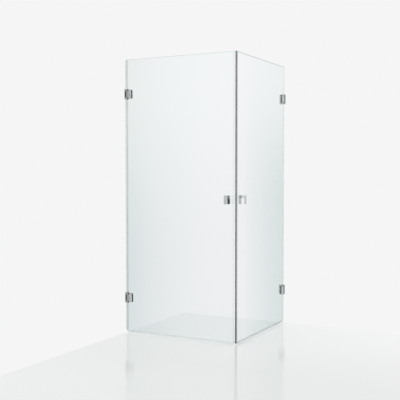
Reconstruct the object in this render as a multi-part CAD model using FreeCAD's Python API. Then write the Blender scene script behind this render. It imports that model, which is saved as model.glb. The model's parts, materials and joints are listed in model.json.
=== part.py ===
import FreeCAD, Part
import math
import os

# Corner shower enclosure: two frameless glass doors that meet at a right angle
# and swing outwards from hinges on two walls.
# Millimetres, +Z up, floor at Z = 0, origin on the floor in the middle of the footprint.
# Every piece is first drawn in door coordinates: X runs along the door from the wall,
# Y points out of the enclosure from the middle of the glass, Z is the height above the floor.

# Enclosure: each width runs from the wall to the outer glass face of the other door
front_width = 895.0
side_width = 895.0
glass_top = 2000.0
floor_gap = 10.0
wall_gap = 14.0

# Glass
glass_thickness = 6.0
glass_arris = 0.8
notch_radius = 8.0
notch_room = 2.5

# Clearances and cuts
touch_gap = 0.05
thread_gap = 0.04
end_gap = 0.5
overrun = 5.0

# Magnetic corner strip
corner_setback = 15.0
corner_grip = 10.0
corner_wall = 1.2
magnet_width = 5.2
magnet_thickness = 1.8
magnet_cover = 0.9
mitre_gap = 0.4

# Wall seal with a hollow bulb
wall_seal_grip = 10.0
wall_seal_wall = 1.0
bulb_wall = 0.8
bulb_wall_gap = 0.5

# Bottom sweep with a floor lip and a slanted drip fin
sweep_grip = 10.0
sweep_wall = 1.0
lip_thickness = 1.0
drip_reach = 6.0
drip_drop = 5.0
drip_thickness = 0.9

# Hinge bracket on the wall
hinge_from_end = 250.0
bracket_height = 75.0
bracket_plate = 5.0
bracket_corner = 6.0
bracket_edge = 2.5
barrel_gap = 1.0
flange_width = 30.0
wall_screw_spacing = 48.0
wall_screw_hole = 5.5
wall_screw_sink = 11.0

# Hinge pin and bushes
pin_diameter = 8.0
pin_recess = 1.0
pin_chamfer = 0.6
pin_fit = 0.05
bush_wall = 1.5
bush_length = 12.0
bush_flange = 1.0
bush_flange_rim = 2.6
hinge_play = 0.15
bore_relief = 0.6

# Hinge clamp on the glass
knuckle_height = 42.0
clamp_reach = 58.0
clamp_height = 64.0
clamp_plate = 6.0
clamp_corner = 6.0
clamp_edge = 1.4
clamp_swing_gap = 1.0
gasket_space = 2.0
gasket_inset = 0.4

# Clamp screws and the sleeves round them
clamp_screw_diameter = 6.0
clamp_screw_head = 11.0
clamp_screw_spacing = 34.0
clamp_screw_bite = 4.5
socket_width = 4.0
socket_depth = 2.2
sleeve_wall = 2.0
sleeve_room = 0.3

# Handle: a block with a finger slot that is open below and at both sides
handle_from_corner = 59.0
handle_middle = 994.0
handle_width = 28.0
handle_height = 60.0
handle_projection = 44.0
handle_web = 19.0
handle_leg = 5.0
handle_lip = 5.0
handle_slot_radius = 9.0
handle_edge = 1.2
handle_pad = 1.0
pad_inset = 0.8
handle_bolt_diameter = 5.0
handle_bolt_head = 10.0
handle_bolt_head_height = 3.0
handle_bolt_head_edge = 0.8
handle_bolt_spacing = 36.0
handle_bolt_bite = 4.0
washer_thickness = 1.0
washer_rim = 1.2

# Worked out from the sizes above
glass_half = glass_thickness / 2
clamp_half = glass_half + gasket_space + clamp_plate
barrel_radius = clamp_half
pivot_from_wall = bracket_plate + barrel_gap + barrel_radius
clamp_start = pivot_from_wall + barrel_radius + clamp_swing_gap
notch_end = clamp_start + notch_room
notch_half = bracket_height / 2 + notch_room
hinge_heights = {"lower": floor_gap + hinge_from_end, "upper": glass_top - hinge_from_end}
ear_slot = knuckle_height + 2 * (bush_flange + hinge_play)
pin_radius = pin_diameter / 2
bush_radius = pin_radius + pin_fit + bush_wall
clamp_screw_x = (notch_end + clamp_reach) / 2
sleeve_radius = clamp_screw_diameter / 2 + sleeve_room + sleeve_wall
handle_bolt_sleeve = handle_bolt_diameter / 2 + sleeve_room + sleeve_wall
widths = {"front": front_width, "side": side_width}
wall_x = -(front_width + handle_projection) / 2
corner_x = wall_x + front_width
wall_y = (side_width + handle_projection) / 2
corner_y = wall_y - side_width

origin = FreeCAD.Vector(0, 0, 0)
along_x = FreeCAD.Vector(1, 0, 0)
along_y = FreeCAD.Vector(0, 1, 0)
along_z = FreeCAD.Vector(0, 0, 1)


# Shapes that several pieces use

def block(x_span, y_span, z_span):
    sides = [span[1] - span[0] for span in (x_span, y_span, z_span)]
    return Part.makeBox(*sides, FreeCAD.Vector(x_span[0], y_span[0], z_span[0]))


def rod(radius, start, length, direction):
    return Part.makeCylinder(radius, length, FreeCAD.Vector(*start), direction)


def upright_prism(points, z_low, z_high):
    corners = [FreeCAD.Vector(x, y, z_low) for x, y in points]
    outline = Part.makePolygon(corners + corners[:1])
    return Part.Face(outline).extrude(along_z * (z_high - z_low))


def lengthwise_prism(points, x_low, x_high):
    corners = [FreeCAD.Vector(x_low, y, z) for y, z in points]
    outline = Part.makePolygon(corners + corners[:1])
    return Part.Face(outline).extrude(along_x * (x_high - x_low))


def straight_edges(shape, direction, low=None, high=None):
    # Straight edges that run along a direction, with their middle inside a box
    found = []
    for edge in shape.Edges:
        if edge.Curve.TypeId != "Part::GeomLine":
            continue
        if abs(edge.Curve.Direction.cross(direction).Length) > touch_gap:
            continue
        middle = edge.CenterOfMass
        if low and any(middle[i] < low[i] for i in range(3)):
            continue
        if high and any(middle[i] > high[i] for i in range(3)):
            continue
        found.append(edge)
    return found


def edges_on_face(shape, direction, reach):
    # Edges that lie in the plane at this reach along a direction
    return [edge for edge in shape.Edges
            if all(abs(vertex.Point.dot(direction) - reach) < touch_gap for vertex in edge.Vertexes)
            and abs(edge.CenterOfMass.dot(direction) - reach) < touch_gap]


def rounded_plate(x_span, y_span, z_span, corner):
    plate = block(x_span, y_span, z_span)
    return plate.makeFillet(corner, straight_edges(plate, along_y))


def hinge_screw_heights(middle):
    return [middle + side * clamp_screw_spacing / 2 for side in (-1, 1)]


def handle_bolt_heights():
    return [handle_middle + side * handle_bolt_spacing / 2 for side in (-1, 1)]


def hex_socket(width, start, depth, direction):
    radius = width / math.sqrt(3)
    corners = []
    for step in range(6):
        angle = math.radians(60 * step)
        corners.append(FreeCAD.Vector(radius * math.cos(angle), 0, radius * math.sin(angle)))
    outline = Part.makePolygon(corners + corners[:1])
    socket = Part.Face(outline).extrude(direction * depth)
    socket.translate(FreeCAD.Vector(*start))
    return socket


def ring(outer_radius, inner_radius, start, length):
    outside = rod(outer_radius, start, length, along_y)
    return outside.cut(rod(inner_radius, start, length, along_y))


# Glass door leaf

def glass_leaf(width):
    glass = block((wall_gap, width - corner_setback), (-glass_half, glass_half), (floor_gap, glass_top))
    faces = edges_on_face(glass, along_y, glass_half) + edges_on_face(glass, along_y, -glass_half)
    glass = glass.makeChamfer(glass_arris, faces)
    through = (-glass_half - overrun, glass_half + overrun)
    start_y = -glass_half - overrun
    depth = glass_thickness + 2 * overrun
    for middle in hinge_heights.values():
        notch_z = (middle - notch_half, middle + notch_half)
        notch = rounded_plate((wall_gap - overrun - notch_radius, notch_end), through, notch_z, notch_radius)
        glass = glass.cut(notch)
        for height in hinge_screw_heights(middle):
            start = (clamp_screw_x, start_y, height)
            glass = glass.cut(rod(sleeve_radius + touch_gap, start, depth, along_y))
    handle_x = width - handle_from_corner
    for height in handle_bolt_heights():
        glass = glass.cut(rod(handle_bolt_sleeve + touch_gap, (handle_x, start_y, height), depth, along_y))
    return glass


# Magnetic corner strip, mitred where the two doors meet

def mitre_outline(width, back, front, half):
    # Slab beside the mitre plane, between two distances from it
    meet = width - glass_half
    slope = math.sqrt(2)
    return [(meet + half - front * slope, half), (meet - half - front * slope, -half),
            (meet - half - back * slope, -half), (meet + half - back * slope, half)]


def corner_strip(width):
    outer = glass_half + touch_gap + corner_wall
    inner = glass_half + touch_gap
    edge = width - corner_setback
    tip, heel = mitre_outline(width, mitre_gap / 2, mitre_gap / 2, outer)[:2]
    outline = [(edge - corner_grip, inner), (edge - corner_grip, outer), tip, heel,
               (edge - corner_grip, -outer), (edge - corner_grip, -inner),
               (edge + touch_gap, -inner), (edge + touch_gap, inner)]
    strip = upright_prism(outline, floor_gap, glass_top)
    front = mitre_gap / 2 + magnet_cover
    back = front + magnet_thickness + 2 * touch_gap
    pocket = mitre_outline(width, back, front, magnet_width / 2 / math.sqrt(2) + touch_gap)
    return strip.cut(upright_prism(pocket, floor_gap - overrun, glass_top + overrun))


def corner_magnet(width):
    front = mitre_gap / 2 + magnet_cover + touch_gap
    outline = mitre_outline(width, front + magnet_thickness, front, magnet_width / 2 / math.sqrt(2))
    return upright_prism(outline, floor_gap, glass_top)


# Seal along the wall edge, in three lengths between the hinges

def wall_seal_section(z_low, z_high):
    inner = glass_half + touch_gap
    outer = inner + wall_seal_wall
    back = wall_gap - touch_gap
    web = back - wall_seal_wall
    end = wall_gap + wall_seal_grip
    outline = [(end, inner), (end, outer), (web, outer), (web, -outer), (end, -outer), (end, -inner),
               (back, -inner), (back, inner)]
    seal = upright_prism(outline, z_low, z_high)
    bulb_radius = (web + bulb_wall - bulb_wall_gap) / 2
    bulb_x = bulb_wall_gap + bulb_radius
    length = z_high - z_low
    bulb = rod(bulb_radius, (bulb_x, 0, z_low), length, along_z)
    bulb = bulb.cut(rod(bulb_radius - bulb_wall, (bulb_x, 0, z_low), length, along_z))
    return seal.fuse(bulb).removeSplitter()


def wall_seal():
    lower = hinge_heights["lower"]
    upper = hinge_heights["upper"]
    spans = [(floor_gap + sweep_grip + end_gap, lower - notch_half),
             (lower + notch_half, upper - notch_half),
             (upper + notch_half, glass_top)]
    return Part.makeCompound([wall_seal_section(low, high) for low, high in spans])


# Sweep under the door: its lip reaches the floor

def bottom_sweep(width):
    inner = glass_half + touch_gap
    outer = inner + sweep_wall
    base_top = floor_gap - touch_gap
    base = base_top - sweep_wall
    top = floor_gap + sweep_grip
    lip = lip_thickness / 2
    outline = [(inner, top), (outer, top), (outer, base), (lip, base), (lip, 0), (-lip, 0), (-lip, base),
               (-outer + drip_thickness, base), (-outer - drip_reach + drip_thickness, base - drip_drop),
               (-outer - drip_reach, base - drip_drop), (-outer, base_top), (-outer, top), (-inner, top),
               (-inner, base_top), (inner, base_top)]
    return lengthwise_prism(outline, wall_gap, width - corner_setback - corner_grip - end_gap)


# Wall bracket: base plate with a screw flange on the inner side, and two ears that hold the pin

def bracket_nose(middle):
    low = middle - bracket_height / 2
    side = barrel_radius
    end = pivot_from_wall
    flat = [Part.makeLine(FreeCAD.Vector(end, -side, low), FreeCAD.Vector(0, -side, low)),
            Part.makeLine(FreeCAD.Vector(0, -side, low), FreeCAD.Vector(0, side, low)),
            Part.makeLine(FreeCAD.Vector(0, side, low), FreeCAD.Vector(end, side, low))]
    tip = FreeCAD.Vector(end + side, 0, low)
    bow = Part.Arc(FreeCAD.Vector(end, side, low), tip, FreeCAD.Vector(end, -side, low)).toShape()
    nose = Part.Face(Part.Wire(flat + [bow])).extrude(along_z * bracket_height)
    rims = [edge for height in (low, low + bracket_height) for edge in edges_on_face(nose, along_z, height)
            if edge.CenterOfMass.x > touch_gap]
    return nose.makeFillet(bracket_edge, rims)


def bracket_flange(middle):
    y_span = (-barrel_radius - flange_width, barrel_radius)
    z_span = (middle - bracket_height / 2, middle + bracket_height / 2)
    plate = block((0, bracket_plate), y_span, z_span)
    far_side = (bracket_plate, -barrel_radius, z_span[1])
    plate = plate.makeFillet(bracket_corner, straight_edges(plate, along_x, None, far_side))
    near_side = (0, 0, z_span[0])
    return plate.makeFillet(bracket_edge, straight_edges(plate, along_x, near_side, None))


def wall_screw_places(middle):
    across = -barrel_radius - flange_width / 2
    return [(0, across, middle + side * wall_screw_spacing / 2) for side in (-1, 1)]


def hinge_bracket(middle):
    bracket = bracket_nose(middle).fuse(bracket_flange(middle))
    slot_x = (bracket_plate, pivot_from_wall + barrel_radius + overrun)
    slot_y = (-barrel_radius - overrun, barrel_radius + overrun)
    bracket = bracket.cut(block(slot_x, slot_y, (middle - ear_slot / 2, middle + ear_slot / 2)))
    bottom = middle - bracket_height / 2 - overrun
    hole_length = bracket_height + 2 * overrun
    bracket = bracket.cut(rod(pin_radius + thread_gap, (pivot_from_wall, 0, bottom), hole_length, along_z))
    hole = wall_screw_hole / 2
    sink = wall_screw_sink / 2
    for x, y, z in wall_screw_places(middle):
        bracket = bracket.cut(rod(hole, (x - overrun, y, z), bracket_plate + 2 * overrun, along_x))
        cone_start = FreeCAD.Vector(x + bracket_plate - (sink - hole), y, z)
        bracket = bracket.cut(Part.makeCone(hole, sink, sink - hole, cone_start, along_x))
    return bracket.removeSplitter()


def hinge_pin(middle):
    length = bracket_height - 2 * pin_recess
    pin = rod(pin_radius, (pivot_from_wall, 0, middle - length / 2), length, along_z)
    ends = [edge for edge in pin.Edges if edge.Curve.TypeId == "Part::GeomCircle"]
    return pin.makeChamfer(pin_chamfer, ends)


# Two flanged bushes turn on the pin, one in each end of the clamp's barrel

def hinge_bush(middle, side):
    face = middle + side * knuckle_height / 2
    away = along_z * side
    start = (pivot_from_wall, 0, face)
    bush = rod(bush_radius, start, bush_length, away * -1)
    bush = bush.fuse(rod(bush_radius + bush_flange_rim, start, bush_flange, away))
    top = (pivot_from_wall, 0, face + side * bush_flange)
    return bush.cut(rod(pin_radius + pin_fit, top, bush_length + bush_flange, away * -1)).removeSplitter()


def hinge_bushes(middle):
    return Part.makeCompound([hinge_bush(middle, side) for side in (-1, 1)])


# Clamp halves: the outer one carries the barrel, the inner one is a loose plate

def clamp_half_plate(middle, y_inner, y_outer):
    z_span = (middle - clamp_height / 2, middle + clamp_height / 2)
    y_span = (min(y_inner, y_outer), max(y_inner, y_outer))
    plate = rounded_plate((clamp_start, clamp_reach), y_span, z_span, clamp_corner)
    return plate.makeFillet(clamp_edge, edges_on_face(plate, along_y, y_outer))


def outer_clamp(middle):
    inner_face = glass_half + gasket_space
    clamp = clamp_half_plate(middle, inner_face, clamp_half)
    knuckle_z = (middle - knuckle_height / 2, middle + knuckle_height / 2)
    neck_end = clamp_start + clamp_corner
    barrel = rod(barrel_radius, (pivot_from_wall, 0, knuckle_z[0]), knuckle_height, along_z)
    barrel = barrel.fuse(block((pivot_from_wall, clamp_start), (-barrel_radius, barrel_radius), knuckle_z))
    neck = block((clamp_start - touch_gap, neck_end), (inner_face, clamp_half), knuckle_z)
    clamp = clamp.fuse([barrel, neck])
    bore_start = (pivot_from_wall, 0, knuckle_z[0] - overrun)
    clamp = clamp.cut(rod(pin_radius + bore_relief, bore_start, knuckle_height + 2 * overrun, along_z))
    for side in (-1, 1):
        start = (pivot_from_wall, 0, middle + side * (knuckle_height / 2 + overrun))
        depth = bush_length + overrun + touch_gap
        clamp = clamp.cut(rod(bush_radius + thread_gap, start, depth, along_z * -side))
    for height in hinge_screw_heights(middle):
        start = (clamp_screw_x, inner_face - overrun, height)
        depth = overrun + clamp_screw_bite
        clamp = clamp.cut(rod(clamp_screw_diameter / 2 + thread_gap, start, depth, along_y))
    return clamp.removeSplitter()


def inner_clamp(middle):
    clamp = clamp_half_plate(middle, -glass_half - gasket_space, -clamp_half)
    clearance = clamp_screw_diameter / 2 + thread_gap
    head = clamp_screw_head / 2 + thread_gap
    for height in hinge_screw_heights(middle):
        start = (clamp_screw_x, -clamp_half - overrun, height)
        clamp = clamp.cut(rod(clearance, start, clamp_plate + 2 * overrun, along_y))
        face = FreeCAD.Vector(clamp_screw_x, -clamp_half, height)
        clamp = clamp.cut(Part.makeCone(head, clearance, head - clearance, face, along_y))
    return clamp


def clamp_gasket(middle, side):
    z_span = (middle - clamp_height / 2 + gasket_inset, middle + clamp_height / 2 - gasket_inset)
    near = glass_half + touch_gap
    far = glass_half + gasket_space - touch_gap
    y_span = tuple(sorted((side * near, side * far)))
    pad = rounded_plate((notch_end, clamp_reach - gasket_inset), y_span, z_span, clamp_corner)
    for height in hinge_screw_heights(middle):
        start = (clamp_screw_x, -clamp_half, height)
        pad = pad.cut(rod(sleeve_radius + touch_gap, start, 2 * clamp_half, along_y))
    return pad


def clamp_gaskets(middle):
    return Part.makeCompound([clamp_gasket(middle, side) for side in (-1, 1)])


def clamp_screw(height):
    shank = clamp_screw_diameter / 2
    head = clamp_screw_head / 2
    start = (clamp_screw_x, -clamp_half, height)
    length = clamp_half + glass_half + gasket_space + clamp_screw_bite - touch_gap
    screw = rod(shank, start, length, along_y)
    screw = screw.fuse(Part.makeCone(head, shank, head - shank, FreeCAD.Vector(*start), along_y))
    socket_start = (clamp_screw_x, -clamp_half - overrun, height)
    return screw.cut(hex_socket(socket_width, socket_start, overrun + socket_depth, along_y)).removeSplitter()


def clamp_screws(middle):
    return Part.makeCompound([clamp_screw(height) for height in hinge_screw_heights(middle)])


def clamp_sleeves(middle):
    # A short sleeve fills each glass hole round its screw
    bore = clamp_screw_diameter / 2 + sleeve_room
    reach = glass_half + gasket_space - touch_gap
    places = [(clamp_screw_x, -reach, height) for height in hinge_screw_heights(middle)]
    return Part.makeCompound([ring(sleeve_radius, bore, place, 2 * reach) for place in places])


# Handle and its fixings

def handle(handle_x):
    x_span = (handle_x - handle_width / 2, handle_x + handle_width / 2)
    y_span = (glass_half + handle_pad, glass_half + handle_projection)
    z_span = (handle_middle - handle_height / 2, handle_middle + handle_height / 2)
    body = block(x_span, y_span, z_span)
    body = body.makeFillet(handle_edge, body.Edges)
    slot_x = (x_span[0] - overrun, x_span[1] + overrun)
    slot_y = (y_span[0] + handle_leg, y_span[1] - handle_lip)
    slot_z = (z_span[0] - overrun, z_span[1] - handle_web)
    slot = block(slot_x, slot_y, slot_z)
    top_low = (slot_x[0], slot_y[0], handle_middle)
    slot = slot.makeFillet(handle_slot_radius, straight_edges(slot, along_x, top_low, None))
    body = body.cut(slot)
    for height in handle_bolt_heights():
        start = (handle_x, y_span[0] - overrun, height)
        depth = overrun + handle_bolt_bite
        body = body.cut(rod(handle_bolt_diameter / 2 + thread_gap, start, depth, along_y))
    return body


def handle_backing(handle_x):
    half_width = handle_width / 2 - pad_inset
    half_height = handle_height / 2 - pad_inset
    y_span = (glass_half + touch_gap, glass_half + handle_pad - touch_gap)
    pad = rounded_plate((handle_x - half_width, handle_x + half_width), y_span,
                        (handle_middle - half_height, handle_middle + half_height), handle_edge)
    for height in handle_bolt_heights():
        start = (handle_x, 0, height)
        pad = pad.cut(rod(handle_bolt_sleeve + touch_gap, start, handle_projection, along_y))
    return pad


def handle_bolt(handle_x, height):
    head_top = -glass_half - washer_thickness - touch_gap
    radius = handle_bolt_head / 2
    head_start = (handle_x, head_top - handle_bolt_head_height, height)
    head = rod(radius, head_start, handle_bolt_head_height, along_y)
    head = head.makeFillet(handle_bolt_head_edge, edges_on_face(head, along_y, head_start[1]))
    reach = glass_half + handle_pad + handle_bolt_bite - touch_gap
    shank = rod(handle_bolt_diameter / 2, (handle_x, head_top, height), reach - head_top, along_y)
    socket_start = (handle_x, head_start[1] - overrun, height)
    bolt = head.fuse(shank)
    return bolt.cut(hex_socket(socket_width, socket_start, overrun + socket_depth, along_y))


def handle_bolts(handle_x):
    return Part.makeCompound([handle_bolt(handle_x, height) for height in handle_bolt_heights()])


def handle_sleeves(handle_x):
    bore = handle_bolt_diameter / 2 + sleeve_room
    length = glass_thickness + handle_pad - touch_gap
    places = [(handle_x, -glass_half, height) for height in handle_bolt_heights()]
    return Part.makeCompound([ring(handle_bolt_sleeve, bore, place, length) for place in places])


def handle_washers(handle_x):
    bore = handle_bolt_diameter / 2 + sleeve_room
    outer = handle_bolt_head / 2 + washer_rim
    start_y = -glass_half - washer_thickness
    places = [(handle_x, start_y, height) for height in handle_bolt_heights()]
    return Part.makeCompound([ring(outer, bore, place, washer_thickness - touch_gap) for place in places])


# From door coordinates to the enclosure

def stand_in_place(shape, door):
    if door == "front":
        stood = shape.mirror(origin, along_y)
        stood.translate(FreeCAD.Vector(wall_x, corner_y + glass_half, 0))
        return stood
    stood = shape.copy()
    stood.rotate(origin, along_z, -90)
    stood.translate(FreeCAD.Vector(corner_x - glass_half, wall_y, 0))
    return stood


def door_pieces(door):
    width = widths[door]
    handle_x = width - handle_from_corner
    pieces = {
        "door_glass": glass_leaf(width),
        "corner_strip": corner_strip(width),
        "corner_magnet": corner_magnet(width),
        "wall_seal": wall_seal(),
        "bottom_sweep": bottom_sweep(width),
        "handle": handle(handle_x),
        "handle_pad": handle_backing(handle_x),
        "handle_bolts": handle_bolts(handle_x),
        "handle_sleeves": handle_sleeves(handle_x),
        "handle_washers": handle_washers(handle_x),
    }
    for level, middle in hinge_heights.items():
        pieces[level + "_hinge_bracket"] = hinge_bracket(middle)
        pieces[level + "_hinge_pin"] = hinge_pin(middle)
        pieces[level + "_hinge_bushes"] = hinge_bushes(middle)
        pieces[level + "_outer_clamp"] = outer_clamp(middle)
        pieces[level + "_inner_clamp"] = inner_clamp(middle)
        pieces[level + "_clamp_gaskets"] = clamp_gaskets(middle)
        pieces[level + "_clamp_screws"] = clamp_screws(middle)
        pieces[level + "_clamp_sleeves"] = clamp_sleeves(middle)
    return pieces


os.makedirs("parts", exist_ok=True)
for door in ("front", "side"):
    for piece, shape in door_pieces(door).items():
        node = door + "_" + piece
        stood = stand_in_place(shape, door)
        stood.exportStep("parts/" + node + ".step")
        print(node, len(stood.Solids), round(stood.Volume, 1), stood.isValid())
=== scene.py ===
import bpy
import json
import math
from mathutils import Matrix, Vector


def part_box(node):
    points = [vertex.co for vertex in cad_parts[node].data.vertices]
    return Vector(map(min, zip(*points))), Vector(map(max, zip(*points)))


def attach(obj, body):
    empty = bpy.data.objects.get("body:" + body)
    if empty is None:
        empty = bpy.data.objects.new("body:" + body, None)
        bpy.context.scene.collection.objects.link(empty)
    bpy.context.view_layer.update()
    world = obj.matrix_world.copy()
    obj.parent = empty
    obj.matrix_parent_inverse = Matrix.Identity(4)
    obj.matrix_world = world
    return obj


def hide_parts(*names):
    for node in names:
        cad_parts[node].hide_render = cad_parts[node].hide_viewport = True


# Corner shower enclosure: materials, rounded metal pieces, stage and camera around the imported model.
# A hinge or handle is modelled once in door coordinates, in metres: X from the wall along the door,
# Y outwards from the middle of the glass, Z up. Then it is copied to its places.
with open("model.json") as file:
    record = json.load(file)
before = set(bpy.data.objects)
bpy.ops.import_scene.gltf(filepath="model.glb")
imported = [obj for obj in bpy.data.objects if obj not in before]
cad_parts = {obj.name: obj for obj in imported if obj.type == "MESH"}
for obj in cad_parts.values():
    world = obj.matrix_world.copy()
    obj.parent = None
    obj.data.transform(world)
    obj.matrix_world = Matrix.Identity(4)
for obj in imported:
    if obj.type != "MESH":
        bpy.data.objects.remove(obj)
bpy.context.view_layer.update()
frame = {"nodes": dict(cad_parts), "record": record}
print("frame loaded,", len(frame["nodes"]), "nodes")

doors = ("front", "side")
levels = ("lower", "upper")


# Places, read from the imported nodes

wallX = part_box("front_upper_hinge_bracket")[0].x
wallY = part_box("side_upper_hinge_bracket")[1].y
frontGlass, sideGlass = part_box("front_door_glass"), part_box("side_door_glass")
frontMiddle = (frontGlass[0].y + frontGlass[1].y) / 2
sideMiddle = (sideGlass[0].x + sideGlass[1].x) / 2


def middleHeight(node):
    low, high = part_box(node)
    return (low.z + high.z) / 2


hingeHeights = {level: middleHeight("front_" + level + "_hinge_bracket") for level in levels}
handleHeight = middleHeight("front_handle")
handleFromWall = (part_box("front_handle")[0].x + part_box("front_handle")[1].x) / 2 - wallX


# Node helpers. An input is fed a fixed value or the output of another node.

def feed(tree, node, inputs):
    for socket, value in inputs.items():
        if isinstance(value, bpy.types.NodeSocket):
            tree.links.new(value, node.inputs[socket])
        else:
            node.inputs[socket].default_value = value


def addNode(tree, kind, inputs=None, **settings):
    node = tree.nodes.new(kind)
    for name, value in settings.items():
        setattr(node, name, value)
    feed(tree, node, inputs or {})
    return node


def compute(tree, operation, *values):
    return addNode(tree, "ShaderNodeMath", dict(enumerate(values)), operation=operation).outputs["Value"]


def computeVector(tree, operation, inputs, output="Vector"):
    return addNode(tree, "ShaderNodeVectorMath", inputs, operation=operation).outputs[output]


def remap(tree, value, fromLow, fromHigh, toLow=0.0, toHigh=1.0, shape="LINEAR"):
    limits = {"From Min": fromLow, "From Max": fromHigh, "To Min": toLow, "To Max": toHigh}
    node = addNode(tree, "ShaderNodeMapRange", {"Value": value, **limits}, interpolation_type=shape)
    return node.outputs["Result"]


def blend(tree, share, first, second, kind="RGBA"):
    node = addNode(tree, "ShaderNodeMix", {"Factor": share, "A": first, "B": second}, data_type=kind)
    return node.outputs["Result"]


def splitVector(tree, vector):
    return addNode(tree, "ShaderNodeSeparateXYZ", {"Vector": vector}).outputs


def addNoise(tree, vector, scale, **inputs):
    return addNode(tree, "ShaderNodeTexNoise", {"Vector": vector, "Scale": scale, **inputs}).outputs["Fac"]


def opaque(colour):
    return (*colour, 1.0)


def newGroup(name, inputs, outputs):
    # Each input is named with the value that it starts from, each output with the kind of its socket
    group = bpy.data.node_groups.new(name, "ShaderNodeTree")
    for label, value in inputs.items():
        kind = "Float" if isinstance(value, float) else "Vector" if len(value) == 3 else "Color"
        socket = group.interface.new_socket(name=label, in_out="INPUT", socket_type="NodeSocket" + kind)
        socket.default_value = value
    for label, kind in outputs.items():
        group.interface.new_socket(name=label, in_out="OUTPUT", socket_type="NodeSocket" + kind)
    return group, group.nodes.new("NodeGroupInput").outputs, group.nodes.new("NodeGroupOutput")


def placeGroup(tree, group, values):
    return addNode(tree, "ShaderNodeGroup", values, node_tree=group).outputs


def newMaterial(name):
    material = bpy.data.materials.new(name)
    material.use_nodes = True
    return material, material.node_tree, material.node_tree.nodes["Principled BSDF"]


def mixShaders(tree, output, share, first, second):
    mix = addNode(tree, "ShaderNodeMixShader", {"Fac": share, 1: first, 2: second})
    feed(tree, output, {"Surface": mix.outputs["Shader"]})


# Cloudy drift between two colours, with a roughness that drifts along with it
drift = {"detail": 5.0, "roughness": 0.6, "low": 0.35, "high": 0.65}


def makeDriftGroup():
    group, given, end = newGroup("toneDrift", {
        "Light": (0.5, 0.5, 0.5, 1.0), "Dark": (0.4, 0.4, 0.4, 1.0), "Scale": 20.0,
        "Smooth": 0.1, "Rough": 0.2}, {"Color": "Color", "Roughness": "Float"})
    place = addNode(group, "ShaderNodeTexCoord").outputs["Object"]
    noise = addNoise(group, place, given["Scale"], Detail=drift["detail"], Roughness=drift["roughness"])
    cloud = remap(group, noise, drift["low"], drift["high"])
    feed(group, end, {"Color": blend(group, cloud, given["Dark"], given["Light"]),
                      "Roughness": remap(group, cloud, 0.0, 1.0, given["Smooth"], given["Rough"])})
    return group


# Fine height detail for a Bump node: grain along one axis plus a coarser unevenness
grain = {"fineDetail": 3.0, "coarseDetail": 2.0}


def makeGrainGroup():
    group, given, end = newGroup("fineGrain", {
        "Fine Scale": 900.0, "Stretch": (1.0, 1.0, 1.0), "Coarse Scale": 60.0, "Coarse Share": 0.5},
        {"Height": "Float"})
    place = addNode(group, "ShaderNodeTexCoord").outputs["Object"]
    stretched = computeVector(group, "MULTIPLY", {0: place, 1: given["Stretch"]})
    fine = addNoise(group, stretched, given["Fine Scale"], Detail=grain["fineDetail"])
    coarse = addNoise(group, place, given["Coarse Scale"], Detail=grain["coarseDetail"])
    feed(group, end, {"Height": blend(group, given["Coarse Share"], fine, coarse, "FLOAT")})
    return group


# Where a point of the surface is, as X, Y and Z, and the way the surface looks there
def findPlace(tree):
    source = addNode(tree, "ShaderNodeTexCoord").outputs
    return splitVector(tree, source["Object"]), source["Normal"]


# Distance from the wall that a door hangs on
def findFromWall(tree, place):
    fromLeftWall = compute(tree, "SUBTRACT", place["X"], wallX)
    fromBackWall = compute(tree, "SUBTRACT", wallY, place["Y"])
    return compute(tree, "MINIMUM", fromLeftWall, fromBackWall)


# Distance outwards from the middle of each pane; the larger one belongs to the door that a piece is on
def findOutward(tree, place):
    fromFront = compute(tree, "SUBTRACT", frontMiddle, place["Y"])
    fromSide = compute(tree, "SUBTRACT", place["X"], sideMiddle)
    return fromFront, fromSide, compute(tree, "MAXIMUM", fromFront, fromSide)


# Tint of a pane with painted shade: deeper towards its wall and towards the floor, with tints of their own
# on the polished edges, which are the glass's green deepened by painted shade, and a painted dark line on a
# narrow band below the top edge. A pane without a band has it start far above the glass.
pane = {"bandBlend": 0.002, "faceFrom": 0.8, "faceTo": 0.95, "levelFrom": 0.3, "levelTo": 0.6}


def makePaneGroup():
    group, given, end = newGroup("paneTintAndShade", {
        "Corner Top": (0.98, 0.99, 1.0, 1.0), "Corner Low": (0.93, 0.94, 0.95, 1.0),
        "Wall Top": (0.92, 0.93, 0.93, 1.0), "Wall Low": (0.75, 0.80, 0.81, 1.0),
        "Level Edge": (0.55, 0.78, 0.72, 1.0), "Upright Edge": (0.8, 0.9, 0.88, 1.0),
        "Top Shade Band": (0.9, 0.95, 0.93, 1.0), "Band From": 9.0, "Reach": 0.85, "Fall": 2.2,
        "Rise From": 0.5, "Rise To": 1.9, "Face Axis": (0.0, 1.0, 0.0)}, {"Color": "Color"})
    place, normal = findPlace(group)
    # Painted shade, deeper towards the wall and, through the rise, towards the floor
    beside = remap(group, findFromWall(group, place), given["Reach"], 0.0)
    wallShare = compute(group, "POWER", beside, given["Fall"])
    rise = remap(group, place["Z"], given["Rise From"], given["Rise To"], shape="SMOOTHSTEP")
    corner = blend(group, rise, given["Corner Low"], given["Corner Top"])
    wall = blend(group, rise, given["Wall Low"], given["Wall Top"])
    # Painted dark line on the band below the top edge
    bandEnd = compute(group, "ADD", given["Band From"], pane["bandBlend"])
    inBand = remap(group, place["Z"], given["Band From"], bandEnd)
    face = blend(group, inBand, blend(group, wallShare, corner, wall), given["Top Shade Band"])
    # The edges: the glass's own green, deepened by painted shade
    towards = computeVector(group, "DOT_PRODUCT", {0: normal, 1: given["Face Axis"]}, "Value")
    onFace = remap(group, compute(group, "ABSOLUTE", towards), pane["faceFrom"], pane["faceTo"])
    steep = compute(group, "ABSOLUTE", splitVector(group, normal)["Z"])
    level = remap(group, steep, pane["levelFrom"], pane["levelTo"])
    edge = blend(group, level, given["Upright Edge"], given["Level Edge"])
    feed(group, end, {"Color": blend(group, onFace, edge, face)})
    return group


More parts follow.
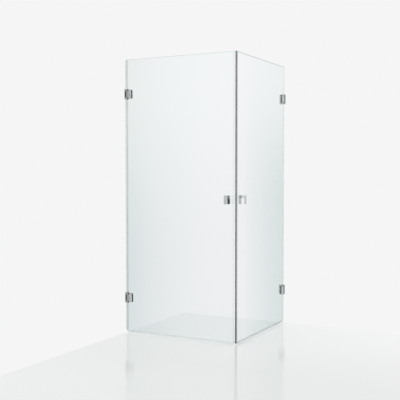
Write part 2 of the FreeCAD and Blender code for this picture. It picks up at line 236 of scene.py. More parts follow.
# Painted shade on a fitting by the way its faces look, standing in for the darker reflections on its chrome:
# one share for each axis on each door, where a share above one paints light, and a painted shade beside the
# wall that lifts away from it. The flange behind the inner clamp and the face on the wall keep their tone.
facing = {"riseFrom": 0.022, "riseTo": 0.050, "offWall": 0.0003}


def makeFacingGroup():
    group, given, end = newGroup("facingShadeAndLight", {
        "Front Shares": (0.3, 1.0, 0.3), "Side Shares": (0.8, 1.0, 0.3), "Beside Wall": 1.0,
        "Behind": -0.0112}, {"Share": "Float"})
    place, normal = findPlace(group)
    fromFront, fromSide, outward = findOutward(group, place)
    fromWall = findFromWall(group, place)
    onFront = compute(group, "GREATER_THAN", fromFront, fromSide)
    shares = blend(group, onFront, given["Side Shares"], given["Front Shares"], "VECTOR")
    squared = computeVector(group, "MULTIPLY", {0: normal, 1: normal})
    looking = computeVector(group, "DOT_PRODUCT", {0: squared, 1: shares}, "Value")
    # Painted shade beside the wall, lifting away from it
    rise = remap(group, fromWall, facing["riseFrom"], facing["riseTo"], given["Beside Wall"])
    ahead = compute(group, "GREATER_THAN", outward, given["Behind"])
    offWall = compute(group, "GREATER_THAN", fromWall, facing["offWall"])
    shaded = compute(group, "MULTIPLY", ahead, offWall)
    deeper = compute(group, "MULTIPLY", looking, rise)
    feed(group, end, {"Share": blend(group, shaded, 1.0, deeper, "FLOAT")})
    return group


# Painted shade in a handle's finger slot, deepest in the middle of the handle. The slot on the side door
# catches more light, so its painted shade is lighter.
slot = {"core": 0.003}


def makeSlotGroup():
    group, given, end = newGroup("slotShade", {
        "Near": 0.009, "Far": 0.042, "Top": 1.0, "Middle": 0.836, "Half": 0.014, "Deepest": 0.2,
        "Opening": 0.8, "Side Least": 0.5}, {"Share": "Float"})
    place = findPlace(group)[0]
    fromFront, fromSide, outward = findOutward(group, place)
    fromMiddle = compute(group, "SUBTRACT", findFromWall(group, place), given["Middle"])
    beside = compute(group, "ABSOLUTE", fromMiddle)
    # Painted shade, deepest in the middle of the slot
    tone = remap(group, beside, slot["core"], given["Half"], given["Deepest"], given["Opening"])
    onSide = compute(group, "GREATER_THAN", fromSide, fromFront)
    lit = compute(group, "MAXIMUM", tone, compute(group, "MULTIPLY", onSide, given["Side Least"]))
    between = compute(group, "MULTIPLY", compute(group, "GREATER_THAN", outward, given["Near"]),
                      compute(group, "LESS_THAN", outward, given["Far"]))
    inside = compute(group, "MULTIPLY", between, compute(group, "LESS_THAN", place["Z"], given["Top"]))
    feed(group, end, {"Share": blend(group, inside, 1.0, lit, "FLOAT")})
    return group


toneDrift = makeDriftGroup()
fineGrain = makeGrainGroup()
paneTintAndShade = makePaneGroup()
shades = {"sides": makeFacingGroup(), "slot": makeSlotGroup()}


def finishSurface(tree, shader, look):
    tones = {name.title(): opaque(look[name]) for name in ("light", "dark") if name in look}
    drifting = placeGroup(tree, toneDrift, {
        **tones, "Scale": look["driftScale"], "Smooth": look["smooth"], "Rough": look["rough"]})
    grained = placeGroup(tree, fineGrain, {
        "Fine Scale": look["grainScale"], "Stretch": look.get("stretch", (1.0, 1.0, 1.0)),
        "Coarse Scale": look["waveScale"], "Coarse Share": look["waveShare"]})
    bump = addNode(tree, "ShaderNodeBump", {"Strength": look["bump"], "Distance": look["bumpDepth"],
                                            "Height": grained["Height"]})
    colour = drifting["Color"]
    for name, group in shades.items():
        if name in look:
            share = placeGroup(tree, group, look[name])["Share"]
            colour = computeVector(tree, "SCALE", {0: colour, "Scale": share})
    if "pane" in look:
        colour = placeGroup(tree, paneTintAndShade, look["pane"])["Color"]
    feed(tree, shader, {"Base Color": colour, "Roughness": drifting["Roughness"],
                        "Normal": bump.outputs["Normal"]})


def makeSolid(name, look):
    material, tree, shader = newMaterial(name)
    finishSurface(tree, shader, look)
    feed(tree, shader, {"Metallic": look.get("metallic", 0.0)})
    return material


# Clear solids let the lamps through, so that they leave only a faint shadow
def makeClear(name, look):
    material, tree, shader = newMaterial(name)
    finishSurface(tree, shader, look)
    feed(tree, shader, {"IOR": look["ior"], "Transmission Weight": 1.0})
    rays = addNode(tree, "ShaderNodeLightPath").outputs
    passing = compute(tree, "MAXIMUM", rays["Is Shadow Ray"], rays["Is Diffuse Ray"])
    through = addNode(tree, "ShaderNodeBsdfTransparent", {"Color": opaque(look["shade"])})
    mixShaders(tree, tree.nodes["Material Output"], passing, shader.outputs["BSDF"], through.outputs["BSDF"])
    return material


# Looks. A pane has no tones of its own, because its tint, with its painted shade, gives its whole colour.

doorGlass = {"driftScale": 1.6, "smooth": 0.0, "rough": 0.004, "grainScale": 3.0,
             "stretch": (1.0, 1.0, 3.0), "waveScale": 1.4, "waveShare": 0.5, "bump": 0.02,
             "bumpDepth": 0.001, "ior": 1.5, "shade": (0.965, 0.975, 0.972)}
# The Wall and Low colours hold painted shade, and the edge colours are the glass's green deepened by painted
# shade
paneColours = {"Corner Top": (0.974, 0.998, 1.0, 1.0), "Corner Low": (0.925, 0.942, 0.952, 1.0),
               "Wall Top": (0.881, 0.921, 0.908, 1.0), "Wall Low": (0.728, 0.796, 0.794, 1.0),
               "Level Edge": (0.50, 0.74, 0.68, 1.0), "Upright Edge": (0.82, 0.92, 0.90, 1.0)}
softClear = {"driftScale": 9.0, "smooth": 0.03, "rough": 0.08, "grainScale": 500.0,
             "stretch": (1.0, 1.0, 0.05), "waveScale": 40.0, "waveShare": 0.6, "bump": 0.1,
             "bumpDepth": 0.0003, "shade": (0.95, 0.955, 0.955)}
hingeTone = {"light": (0.57, 0.59, 0.59), "dark": (0.50, 0.52, 0.52), "driftScale": 30.0,
             "smooth": 0.1, "rough": 0.16, "grainScale": 1500.0, "waveScale": 35.0,
             "waveShare": 0.6, "bump": 0.06, "bumpDepth": 0.0002, "metallic": 1.0}
nylon = {"driftScale": 120.0, "grainScale": 2000.0, "waveScale": 300.0, "waveShare": 0.4,
         "bump": 0.15, "bumpDepth": 0.0002}
topBandHeight = 0.0055
looks = {
    "frontGlass": {**doorGlass, "pane": {**paneColours, "Face Axis": (0.0, 1.0, 0.0)}},
    # The side pane's top edge and the band below it are deepened by painted shade into a dark line
    "sideGlass": {**doorGlass, "pane": {
        **paneColours, "Face Axis": (1.0, 0.0, 0.0), "Reach": 0.76, "Fall": 0.78,
        "Wall Top": (0.913, 0.95, 0.94, 1.0), "Wall Low": (0.695, 0.777, 0.772, 1.0),
        "Rise From": 0.9, "Rise To": 1.95, "Level Edge": (0.26, 0.42, 0.38, 1.0),
        "Top Shade Band": (0.64, 0.74, 0.71, 1.0), "Band From": sideGlass[1].z - topBandHeight}},
    "clearSeal": {**softClear, "light": (0.975, 0.98, 0.98), "dark": (0.95, 0.96, 0.96), "ior": 1.12},
    "deeperSeal": {**softClear, "light": (0.90, 0.915, 0.915), "dark": (0.86, 0.88, 0.88), "ior": 1.27},
    "clearPad": {"light": (0.88, 0.90, 0.90), "dark": (0.82, 0.85, 0.85), "driftScale": 60.0,
                 "smooth": 0.12, "rough": 0.2, "grainScale": 900.0, "waveScale": 150.0, "waveShare": 0.4,
                 "bump": 0.2, "bumpDepth": 0.0002, "ior": 1.45, "shade": (0.88, 0.9, 0.9)},
    "magnetGrey": {"light": (0.11, 0.115, 0.12), "dark": (0.075, 0.08, 0.085), "driftScale": 35.0,
                   "smooth": 0.5, "rough": 0.65, "grainScale": 1500.0, "stretch": (1.0, 1.0, 0.1),
                   "waveScale": 90.0, "waveShare": 0.4, "bump": 0.3, "bumpDepth": 0.0002},
    "handleChrome": {"light": (0.59, 0.61, 0.61), "dark": (0.52, 0.54, 0.54), "driftScale": 25.0,
                     "smooth": 0.06, "rough": 0.11, "grainScale": 1800.0, "waveScale": 35.0,
                     "waveShare": 0.7, "bump": 0.05, "bumpDepth": 0.0002, "metallic": 1.0,
                     # The shares paint shade on the handle on the front door and light on the one on the
                     # side door; the slot gets painted shade
                     "sides": {"Front Shares": (0.9, 1.0, 0.8), "Side Shares": (1.0, 1.3, 1.1)},
                     "slot": {"Near": 0.0088, "Far": 0.0422, "Top": handleHeight + 0.0112,
                              "Middle": handleFromWall, "Half": 0.0139, "Deepest": 0.16,
                              "Opening": 0.75, "Side Least": 0.85}},
    # Painted shade on the end faces of the clamps, and on the outer clamp a painted shade beside the wall,
    # over the barrel
    "outerChrome": {**hingeTone, "sides": {"Front Shares": (0.12, 1.0, 0.12),
                                           "Side Shares": (0.98, 1.1, 0.12), "Beside Wall": 0.62}},
    "innerChrome": {**hingeTone, "sides": {"Front Shares": (0.08, 1.0, 0.12),
                                           "Side Shares": (1.0, 0.08, 0.12)}},
    # The bracket's darker chrome is painted shade, for the shadow of the wall corner that it stands in; its
    # faces get painted shade too
    "bracketChrome": {**hingeTone, "light": (0.42, 0.435, 0.435), "dark": (0.35, 0.365, 0.365),
                      "sides": {"Front Shares": (0.15, 1.0, 0.15), "Side Shares": (0.85, 1.0, 0.15)}},
    "screwSteel": {"light": (0.52, 0.52, 0.51), "dark": (0.38, 0.38, 0.38), "driftScale": 150.0,
                   "smooth": 0.22, "rough": 0.34, "grainScale": 2500.0, "waveScale": 200.0,
                   "waveShare": 0.4, "bump": 0.15, "bumpDepth": 0.0002, "metallic": 1.0},
    "nylonWhite": {**nylon, "light": (0.78, 0.785, 0.77), "dark": (0.68, 0.69, 0.68), "smooth": 0.4,
                   "rough": 0.5},
    "nylonBlack": {**nylon, "light": (0.05, 0.05, 0.055), "dark": (0.035, 0.035, 0.04), "smooth": 0.35,
                   "rough": 0.45},
    "gasketRubber": {"light": (0.20, 0.205, 0.205), "dark": (0.15, 0.155, 0.155), "driftScale": 80.0,
                     "smooth": 0.6, "rough": 0.75, "grainScale": 2200.0, "waveScale": 250.0,
                     "waveShare": 0.4, "bump": 0.3, "bumpDepth": 0.0003},
}
materials = {name: makeClear(name, look) if "shade" in look else makeSolid(name, look)
             for name, look in looks.items()}
print("materials made")

slotMaterials = {"clear_glass": "frontGlass", "clear_seal": "clearSeal", "clear_pad": "clearPad",
                 "magnet_grey": "magnetGrey", "handle_chrome": "handleChrome", "hinge_chrome": "outerChrome",
                 "screw_steel": "screwSteel", "nylon_sleeve": "nylonWhite", "nylon_bush": "nylonBlack",
                 "gasket_rubber": "gasketRubber"}
nodeSlots = {part["node"]: part["material_slot"] for part in frame["record"]["subparts"]}
for name, node in frame["nodes"].items():
    node.data.materials.clear()
    node.data.materials.append(materials[slotMaterials[nodeSlots[name]]])
for name, finish in (("side_door_glass", "sideGlass"), ("front_wall_seal", "deeperSeal")):
    frame["nodes"][name].data.materials[0] = materials[finish]
print("nodes dressed")


# Modelling helpers. A direction is straight when it follows an axis this closely, a middle within the
# touch distance lies on a plane, and points closer than the merge distance are one. The drill along
# the pivot reaches as far up as down, and every other cutter leads in from outside the piece.

tolerance = {"straight": 0.99, "touch": 0.0001, "merge": 0.000002}
cutter = {"half": 0.05, "lead": 0.01, "socketLead": 0.005}
edges = {"softAngle": 38.0, "smoothAngle": 34.0, "normalWeight": 60}
turns = {"X": (0.0, math.pi / 2, 0.0), "Y": (-math.pi / 2, 0.0, 0.0), "Z": (0.0, 0.0, 0.0)}


def selectOnly(piece):
    bpy.ops.object.select_all(action="DESELECT")
    piece.select_set(True)
    bpy.context.view_layer.objects.active = piece


def addBlock(name, low, high):
    bpy.ops.object.select_all(action="DESELECT")
    middle = [(a + b) / 2 for a, b in zip(low, high)]
    bpy.ops.mesh.primitive_cube_add(size=1.0, location=middle)
    piece = bpy.context.object
    piece.name = name
    piece.scale = [b - a for a, b in zip(low, high)]
    bpy.ops.object.transform_apply(location=True, rotation=True, scale=True)
    return piece


def addRod(name, radius, start, length, axis, sides=64, endRadius=None):
    # A rod that starts at a point and runs along an axis, or a cone where it ends with another radius
    bpy.ops.object.select_all(action="DESELECT")
    middle = Vector(start)
    middle["XYZ".index(axis)] += length / 2
    bpy.ops.mesh.primitive_cone_add(
        vertices=sides, radius1=radius, radius2=radius if endRadius is None else endRadius,
        depth=length, location=middle, rotation=turns[axis])
    piece = bpy.context.object
    piece.name = name
    bpy.ops.object.transform_apply(location=True, rotation=True, scale=True)
    return piece


def startEdit(piece, mode):
    selectOnly(piece)
    bpy.ops.object.mode_set(mode="EDIT")
    bpy.ops.mesh.select_mode(type=mode)
    bpy.ops.mesh.select_all(action="DESELECT")
    bpy.ops.object.mode_set(mode="OBJECT")


def bevelEdges(piece, width, segments, chosen):
    # chosen(middle, direction) says which edges are rounded
    startEdit(piece, "EDGE")
    points = [vertex.co for vertex in piece.data.vertices]
    for edge in piece.data.edges:
        first, second = (points[index] for index in edge.vertices)
        edge.select = chosen((first + second) / 2, (second - first).normalized())
    bpy.ops.object.mode_set(mode="EDIT")
    bpy.ops.mesh.bevel(offset=width, offset_type="OFFSET", segments=segments, profile=0.5, affect="EDGES")
    bpy.ops.object.mode_set(mode="OBJECT")


def pushFace(piece, chosen, step):
    # Extrudes the faces that chosen(middle, normal) picks by one step
    startEdit(piece, "FACE")
    for face in piece.data.polygons:
        face.select = chosen(face.center, face.normal)
    bpy.ops.object.mode_set(mode="EDIT")
    bpy.ops.mesh.extrude_region_move(TRANSFORM_OT_translate={"value": step})
    bpy.ops.object.mode_set(mode="OBJECT")


def cutPlane(piece, place, normal):
    # Keeps the half behind the plane and closes the cut
    startEdit(piece, "FACE")
    bpy.ops.object.mode_set(mode="EDIT")
    bpy.ops.mesh.select_all(action="SELECT")
    bpy.ops.mesh.bisect(plane_co=place, plane_no=normal, use_fill=True, clear_outer=True)
    bpy.ops.object.mode_set(mode="OBJECT")


def applyModifier(piece, kind, **settings):
    selectOnly(piece)
    modifier = piece.modifiers.new(kind, kind)
    for name, value in settings.items():
        setattr(modifier, name, value)
    bpy.ops.object.modifier_apply(modifier=modifier.name)


def combine(piece, tools, operation):
    for tool in tools:
        applyModifier(piece, "BOOLEAN", operation=operation, solver="EXACT", object=tool)
        bpy.data.objects.remove(tool)


def cutOut(piece, *tools):
    combine(piece, tools, "DIFFERENCE")


def joinOn(piece, *tools):
    combine(piece, tools, "UNION")


def mergePoints(piece):
    startEdit(piece, "VERT")
    bpy.ops.object.mode_set(mode="EDIT")
    bpy.ops.mesh.select_all(action="SELECT")
    bpy.ops.mesh.remove_doubles(threshold=tolerance["merge"])
    bpy.ops.object.mode_set(mode="OBJECT")


def softenEdges(piece, width, segments=2):
    # Where a cut leaves no room, the softening has no width, and its points are merged again
    applyModifier(piece, "BEVEL", width=width, segments=segments, limit_method="ANGLE",
                  angle_limit=math.radians(edges["softAngle"]), use_clamp_overlap=True)
    mergePoints(piece)


def standInPlace(template, name, door, height, body, replaced, shift=0.0):
    # Copies a piece from door coordinates to its door, with its own mesh
    selectOnly(template)
    bpy.ops.object.duplicate()
    piece = bpy.context.object
    piece.name = name
    if door == "front":
        piece.scale = (1.0, -1.0, 1.0)
        piece.location = (wallX + shift, frontMiddle, height)
    else:
        piece.rotation_euler = (0.0, 0.0, -math.pi / 2)
        piece.location = (sideMiddle, wallY - shift, height)
    bpy.ops.object.transform_apply(location=True, rotation=True, scale=True)
    bpy.ops.object.mode_set(mode="EDIT")
    bpy.ops.mesh.select_all(action="SELECT")
    bpy.ops.mesh.normals_make_consistent(inside=False)
    bpy.ops.object.mode_set(mode="OBJECT")
    bpy.ops.object.shade_smooth_by_angle(angle=math.radians(edges["smoothAngle"]))
    applyModifier(piece, "WEIGHTED_NORMAL", keep_sharp=True, weight=edges["normalWeight"])
    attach(piece, body)
    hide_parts(*replaced)


def standHinges(template, part, materialName, onWall=False):
    template.data.materials.append(materials[materialName])
    for door in doors:
        for level in levels:
            name = "_".join((door, level, part))
            body = "wall_brackets" if onWall else door + "_door"
            standInPlace(template, name + "_finished", door, hingeHeights[level], body, [name])
    bpy.data.objects.remove(template)


# Wall bracket: a rounded nose with two ears, and a screw flange on the inner side

bracket = {"plate": 0.005, "pivot": 0.017, "radius": 0.011, "height": 0.075, "rim": 0.0025, "rimSteps": 5,
           "slot": 0.0443, "slotToolEnd": 0.04, "slotToolHalf": 0.016, "flange": 0.041,
           "flangeCorner": 0.006, "flangeSteps": 6, "pinHole": 0.00404, "screwHole": 0.00275,
           "screwSink": 0.0055, "screwAcross": 0.026, "screwApart": 0.048, "soft": 0.0004}


def makeBracket():
    half, slotHalf, toolHalf = bracket["height"] / 2, bracket["slot"] / 2, bracket["slotToolHalf"]
    radius, pivot, plate = bracket["radius"], bracket["pivot"], bracket["plate"]
    straight, touch = tolerance["straight"], tolerance["touch"]
    nose = addRod("bracketNose", radius, (pivot, 0, -half), 2 * half, "Z", sides=72)
    cutPlane(nose, (pivot, 0, 0), (-1, 0, 0))
    pushFace(nose, lambda middle, normal: normal.x < -straight, (-pivot, 0, 0))
    # The edge that the extrusion left across each end is flat, and stays
    bevelEdges(nose, bracket["rim"], bracket["rimSteps"],
               lambda middle, direction: (abs(middle.z) > half - touch and middle.x > touch
                                          and abs(middle.x - pivot) > touch))
    cutOut(nose, addBlock("slotTool", (plate, -toolHalf, -slotHalf),
                          (bracket["slotToolEnd"], toolHalf, slotHalf)))
    flange = addBlock("flange", (0, -bracket["flange"], -half), (plate, 0, half))
    bevelEdges(flange, bracket["flangeCorner"], bracket["flangeSteps"],
               lambda middle, direction: abs(direction.x) > straight and middle.y < -radius)
    joinOn(nose, flange)
    cutOut(nose, addRod("pinTool", bracket["pinHole"], (pivot, 0, -cutter["half"]), 2 * cutter["half"], "Z"))
    sinkDepth = bracket["screwSink"] - bracket["screwHole"]
    for side in (-1, 1):
        place = (-cutter["lead"], -bracket["screwAcross"], side * bracket["screwApart"] / 2)
        sinkPlace = (plate - sinkDepth, place[1], place[2])
        cutOut(nose, addRod("holeTool", bracket["screwHole"], place, 2 * cutter["lead"], "X", sides=48))
        cutOut(nose, addRod("sinkTool", bracket["screwHole"], sinkPlace, 2 * sinkDepth, "X", sides=48,
                            endRadius=2 * bracket["screwSink"] - bracket["screwHole"]))
    softenEdges(nose, bracket["soft"])
    return nose


standHinges(makeBracket(), "hinge_bracket", "bracketChrome", onWall=True)
print("brackets made")


# Hinge pin with chamfered ends

pin = {"radius": 0.004, "length": 0.073, "chamfer": 0.0006, "chamferSteps": 2, "pivot": 0.017}


def makePin():
    half = pin["length"] / 2
    rod = addRod("pin", pin["radius"], (pin["pivot"], 0, -half), 2 * half, "Z")
    bevelEdges(rod, pin["chamfer"], pin["chamferSteps"],
               lambda middle, direction: abs(middle.z) > half - tolerance["touch"])
    return rod


standHinges(makePin(), "hinge_pin", "screwSteel", onWall=True)
print("pins made")


# Clamp: the outer half carries the barrel, the inner half is a loose plate

clamp = {"start": 0.029, "reach": 0.058, "height": 0.064, "inner": 0.005, "outer": 0.011, "corner": 0.006,
         "cornerSteps": 8, "rim": 0.0014, "rimSteps": 4, "knuckle": 0.042, "radius": 0.011,
         "pivot": 0.017, "overlap": 0.001, "bore": 0.0046, "bushBore": 0.00559, "bushDepth": 0.01205,
         "screwX": 0.04475, "screwApart": 0.034, "screwBore": 0.00304, "screwHead": 0.00554,
         "screwBite": 0.0045, "drillStart": -0.02, "drillLength": 0.03, "soft": 0.0004}


def makeClampPlate(side):
    half = clamp["height"] / 2
    near, far = sorted((side * clamp["inner"], side * clamp["outer"]))
    plate = addBlock("clampPlate", (clamp["start"], near, -half), (clamp["reach"], far, half))
    bevelEdges(plate, clamp["corner"], clamp["cornerSteps"],
               lambda middle, direction: abs(direction.y) > tolerance["straight"])
    face = side * clamp["outer"]
    bevelEdges(plate, clamp["rim"], clamp["rimSteps"],
               lambda middle, direction: abs(middle.y - face) < tolerance["touch"])
    return plate


def makeOuterClamp():
    plate = makeClampPlate(1)
    half, radius, pivot = clamp["knuckle"] / 2, clamp["radius"], clamp["pivot"]
    barrel = addRod("barrel", radius, (pivot, 0, -half), 2 * half, "Z", sides=72)
    cutPlane(barrel, (pivot, 0, 0), (1, 0, 0))
    pushFace(barrel, lambda middle, normal: normal.x > tolerance["straight"], (clamp["start"] - pivot, 0, 0))
    neck = addBlock("neck", (clamp["start"] - clamp["overlap"], clamp["inner"], -half),
                    (clamp["start"] + clamp["corner"], clamp["outer"], half))
    joinOn(plate, barrel, neck)
    cutOut(plate, addRod("boreTool", clamp["bore"], (pivot, 0, -cutter["half"]), 2 * cutter["half"], "Z"))
    bushLength, screwLength = clamp["bushDepth"] + cutter["lead"], clamp["inner"] + clamp["screwBite"]
    for side in (-1, 1):
        bottom = half - clamp["bushDepth"] if side > 0 else -half - cutter["lead"]
        cutOut(plate, addRod("bushTool", clamp["bushBore"], (pivot, 0, bottom), bushLength, "Z"))
        place = (clamp["screwX"], 0, side * clamp["screwApart"] / 2)
        cutOut(plate, addRod("screwTool", clamp["screwBore"], place, screwLength, "Y"))
    # The cuts leave a few points almost in one place, which in some runs would stop the softening
    mergePoints(plate)
    softenEdges(plate, clamp["soft"])
    return plate


def makeInnerClamp():
    plate = makeClampPlate(-1)
    sink = clamp["screwHead"] - clamp["screwBore"]
    for side in (-1, 1):
        place = (clamp["screwX"], clamp["drillStart"], side * clamp["screwApart"] / 2)
        sinkPlace = (place[0], -clamp["outer"] - sink, place[2])
        cutOut(plate, addRod("screwTool", clamp["screwBore"], place, clamp["drillLength"], "Y", sides=48))
        cutOut(plate, addRod("sinkTool", clamp["screwHead"] + sink, sinkPlace, 2 * sink, "Y", sides=48,
                             endRadius=clamp["screwBore"]))
    softenEdges(plate, clamp["soft"])
    return plate


standHinges(makeOuterClamp(), "outer_clamp", "outerChrome")
standHinges(makeInnerClamp(), "inner_clamp", "innerChrome")
print("clamps made")


# Two screws that point outwards: each gets its head, a shank that starts inside it, and a hexagonal
# socket that is seen from inside the shower
def makeScrewPair(screw, makeHead):
    pair = []
    for side in (-1, 1):
        x, top, height = screw["x"], screw["top"], side * screw["apart"] / 2
        head = makeHead((x, top, height))
        joinOn(head, addRod("shank", screw["shank"], (x, top + screw["inset"], height),
                            screw["end"] - top - screw["inset"], "Y", sides=48))
        cutOut(head, addRod("socketTool", screw["socket"], (x, top - cutter["socketLead"], height),
                            cutter["socketLead"] + screw["socketDepth"], "Y", sides=6))
        softenEdges(head, screw["soft"])
        pair.append(head)
    selectOnly(pair[0])
    pair[1].select_set(True)
    bpy.ops.object.join()
    return pair[0]


# Clamp screws, with countersunk heads

clampScrew = {"x": 0.04475, "top": -0.011, "apart": 0.034, "head": 0.0055, "shank": 0.003, "inset": 0.0005,
              "end": 0.00945, "socket": 0.00231, "socketDepth": 0.0022, "soft": 0.00025}


def makeSunkHead(place):
    sink = clampScrew["head"] - clampScrew["shank"]
    return addRod("screwHead", clampScrew["head"], place, sink, "Y", sides=48, endRadius=clampScrew["shank"])


standHinges(makeScrewPair(clampScrew, makeSunkHead), "clamp_screws", "screwSteel")
print("clamp screws made")


# Handle: a block with a finger slot that is open below and at both sides

handle = {"half": 0.014, "near": 0.004, "far": 0.047, "height": 0.060, "web": 0.019, "leg": 0.005,
          "lip": 0.005, "slotRadius": 0.009, "slotSteps": 12, "slotToolHalf": 0.03, "edge": 0.0012,
          "edgeSteps": 4, "soft": 0.0005, "softSteps": 3, "bolt": 0.00254, "boltBite": 0.004,
          "boltApart": 0.036}


def makeHandle():
    half, toolHalf = handle["height"] / 2, handle["slotToolHalf"]
    body = addBlock("handleBody", (-handle["half"], handle["near"], -half),
                    (handle["half"], handle["far"], half))
    bevelEdges(body, handle["edge"], handle["edgeSteps"], lambda middle, direction: True)
    slotNear, slotFar = handle["near"] + handle["leg"], handle["far"] - handle["lip"]
    slotTool = addBlock("slotTool", (-toolHalf, slotNear, -half - cutter["lead"]),
                        (toolHalf, slotFar, half - handle["web"]))
    bevelEdges(slotTool, handle["slotRadius"], handle["slotSteps"],
               lambda middle, direction: abs(direction.x) > tolerance["straight"] and middle.z > 0)
    cutOut(body, slotTool)
    boltLength = cutter["lead"] + handle["near"] + handle["boltBite"]
    for side in (-1, 1):
        place = (0, -cutter["lead"], side * handle["boltApart"] / 2)
        cutOut(body, addRod("boltTool", handle["bolt"], place, boltLength, "Y"))
    softenEdges(body, handle["soft"], segments=handle["softSteps"])
    return body


def standHandles(template, part, materialName):
    template.data.materials.append(materials[materialName])
    for door in doors:
        name = door + "_" + part
        standInPlace(template, name + "_finished", door, handleHeight, door + "_door", [name],
                     shift=handleFromWall)
    bpy.data.objects.remove(template)


standHandles(makeHandle(), "handle", "handleChrome")
print("handles made")


# Handle bolts, with button heads on the inner side of the glass

handleBolt = {"x": 0.0, "top": -0.00705, "apart": 0.036, "head": 0.005, "headHeight": 0.003,
              "headEdge": 0.0014, "headSteps": 4, "shank": 0.0025, "inset": 0.001, "end": 0.00795,
              "socket": 0.00231, "socketDepth": 0.0022, "soft": 0.0002}


def makeButtonHead(place):
    head = addRod("boltHead", handleBolt["head"], place, handleBolt["headHeight"], "Y", sides=48)
    bevelEdges(head, handleBolt["headEdge"], handleBolt["headSteps"],
               lambda middle, direction: abs(middle.y - handleBolt["top"]) < tolerance["touch"])
    return head


standHandles(makeScrewPair(handleBolt, makeButtonHead), "handle_bolts", "screwSteel")
print("handle bolts made")


# Stage: a pale floor that ends at the two wall planes and fades out in front. It has painted light: it is
# lighter towards the walls, and a little lighter between the walls and the doors.

stage = {"floorSize": 24.0, "floorTone": (0.765, 0.785, 0.775), "insideLitTone": (0.855, 0.87, 0.87),
         "wallLitTone": (0.925, 0.93, 0.93), "wallReach": 1.5, "sideShare": 0.12,
         "backTone": (0.915, 0.914, 0.92), "wallBlend": 0.012, "doorBlend": 0.02, "fadeStart": 3.2,
         "fadeEnd": 5.5, "smooth": 0.09, "rough": 0.13, "cloudScale": 2.5, "cloudDetail": 4.0}


def makeFloorMaterial():
    material, tree, shader = newMaterial("paleFloor")
    place = addNode(tree, "ShaderNodeTexCoord").outputs["Object"]
    axes = splitVector(tree, place)
    besideX = remap(tree, axes["X"], wallX, wallX + stage["wallBlend"])
    besideY = remap(tree, axes["Y"], wallY, wallY - stage["wallBlend"])
    far = computeVector(tree, "LENGTH", {0: place}, "Value")
    fade = remap(tree, far, stage["fadeEnd"], stage["fadeStart"], shape="SMOOTHSTEP")
    shown = compute(tree, "MULTIPLY", compute(tree, "MULTIPLY", besideX, besideY), fade)
    cloud = addNoise(tree, place, stage["cloudScale"], Detail=stage["cloudDetail"])
    # Painted light towards the walls
    nearBack = remap(tree, axes["Y"], wallY - stage["wallReach"], wallY)
    nearLeft = remap(tree, axes["X"], wallX + stage["wallReach"], wallX, toHigh=stage["sideShare"])
    nearest = compute(tree, "MAXIMUM", nearBack, nearLeft)
    outside = blend(tree, nearest, opaque(stage["floorTone"]), opaque(stage["wallLitTone"]))
    # Painted light between the walls and the doors
    withinX = remap(tree, axes["X"], sideMiddle, sideMiddle - stage["doorBlend"])
    withinY = remap(tree, axes["Y"], frontMiddle, frontMiddle + stage["doorBlend"])
    within = compute(tree, "MULTIPLY", withinX, withinY)
    feed(tree, shader, {"Base Color": blend(tree, within, outside, opaque(stage["insideLitTone"])),
                        "Roughness": remap(tree, cloud, 0.0, 1.0, stage["smooth"], stage["rough"])})
    back = addNode(tree, "ShaderNodeEmission", {"Color": opaque(stage["backTone"]), "Strength": 1.0})
    mixShaders(tree, tree.nodes["Material Output"], shown, back.outputs["Emission"], shader.outputs["BSDF"])
    return material


bpy.ops.object.select_all(action="DESELECT")
bpy.ops.mesh.primitive_plane_add(size=stage["floorSize"], location=(0, 0, 0))
floor = bpy.context.object
floor.name = "floor"
floor.data.materials.append(makeFloorMaterial())


# World: an even grey light, and a pale studio for what the camera, metal and glass show. Upwards, in
# degrees, the studio turns into a darker band and then into a bright top.

studio = {"light": (0.80, 0.80, 0.80), "band": (0.30, 0.31, 0.32), "bandStart": 35.0, "bandEnd": 52.0,
          "top": (1.1, 1.1, 1.1), "topStart": 62.0, "topEnd": 75.0}


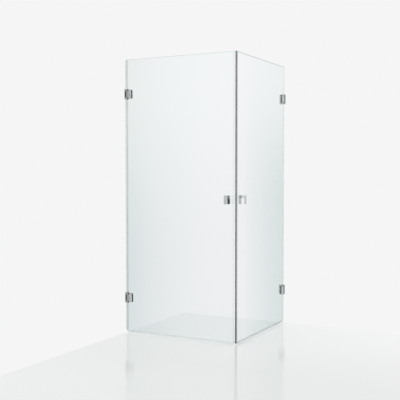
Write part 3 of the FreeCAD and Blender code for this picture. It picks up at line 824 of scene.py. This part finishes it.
def makeWorld():
    world = bpy.data.worlds.new("studio")
    world.use_nodes = True
    tree = world.node_tree
    tree.nodes.clear()
    height = splitVector(tree, addNode(tree, "ShaderNodeTexCoord").outputs["Generated"])["Z"]
    sky = opaque(stage["backTone"])
    for name in ("band", "top"):
        start, end = (math.sin(math.radians(studio[name + limit])) for limit in ("Start", "End"))
        sky = blend(tree, remap(tree, height, start, end, shape="SMOOTHSTEP"), sky, opaque(studio[name]))
    light = addNode(tree, "ShaderNodeBackground", {"Color": opaque(studio["light"]), "Strength": 1.0})
    shown = addNode(tree, "ShaderNodeBackground", {"Color": sky, "Strength": 1.0})
    rays = addNode(tree, "ShaderNodeLightPath").outputs
    seen = compute(tree, "MAXIMUM", rays["Is Camera Ray"], rays["Is Glossy Ray"])
    seen = compute(tree, "MAXIMUM", seen, rays["Is Transmission Ray"])
    output = addNode(tree, "ShaderNodeOutputWorld")
    mixShaders(tree, output, seen, light.outputs["Background"], shown.outputs["Background"])
    return world


bpy.context.scene.world = makeWorld()

lamps = {
    "keyLamp": {"place": (-1.6, -3.4, 4.2), "aim": (0.0, 0.0, 0.8), "size": 2.6, "power": 60.0},
    "fillLamp": {"place": (3.6, -1.2, 3.4), "aim": (0.0, 0.0, 0.8), "size": 2.2, "power": 26.0},
}
for name, lamp in lamps.items():
    light = bpy.data.lights.new(name, "AREA")
    light.shape = "SQUARE"
    light.size = lamp["size"]
    light.energy = lamp["power"]
    holder = bpy.data.objects.new(name, light)
    bpy.context.scene.collection.objects.link(holder)
    holder.location = lamp["place"]
    toAim = Vector(lamp["aim"]) - Vector(lamp["place"])
    holder.rotation_euler = toAim.to_track_quat("-Z", "Y").to_euler()
    holder.visible_glossy = False
    holder.visible_transmission = False

cameraView = {"place": (2.57653, -5.07077, 1.18208), "tilt": 90 - 2.1136, "turn": 27.596,
              "lens": 67.796, "sensor": 36.0}
cameraData = bpy.data.cameras.new("photoCamera")
cameraData.lens = cameraView["lens"]
cameraData.sensor_width = cameraView["sensor"]
photoCamera = bpy.data.objects.new("photoCamera", cameraData)
bpy.context.scene.collection.objects.link(photoCamera)
photoCamera.location = cameraView["place"]
photoCamera.rotation_euler = (math.radians(cameraView["tilt"]), 0.0, math.radians(cameraView["turn"]))
bpy.context.scene.camera = photoCamera
bpy.context.scene.view_settings.view_transform = "Standard"
print("stage, lamps and camera set")
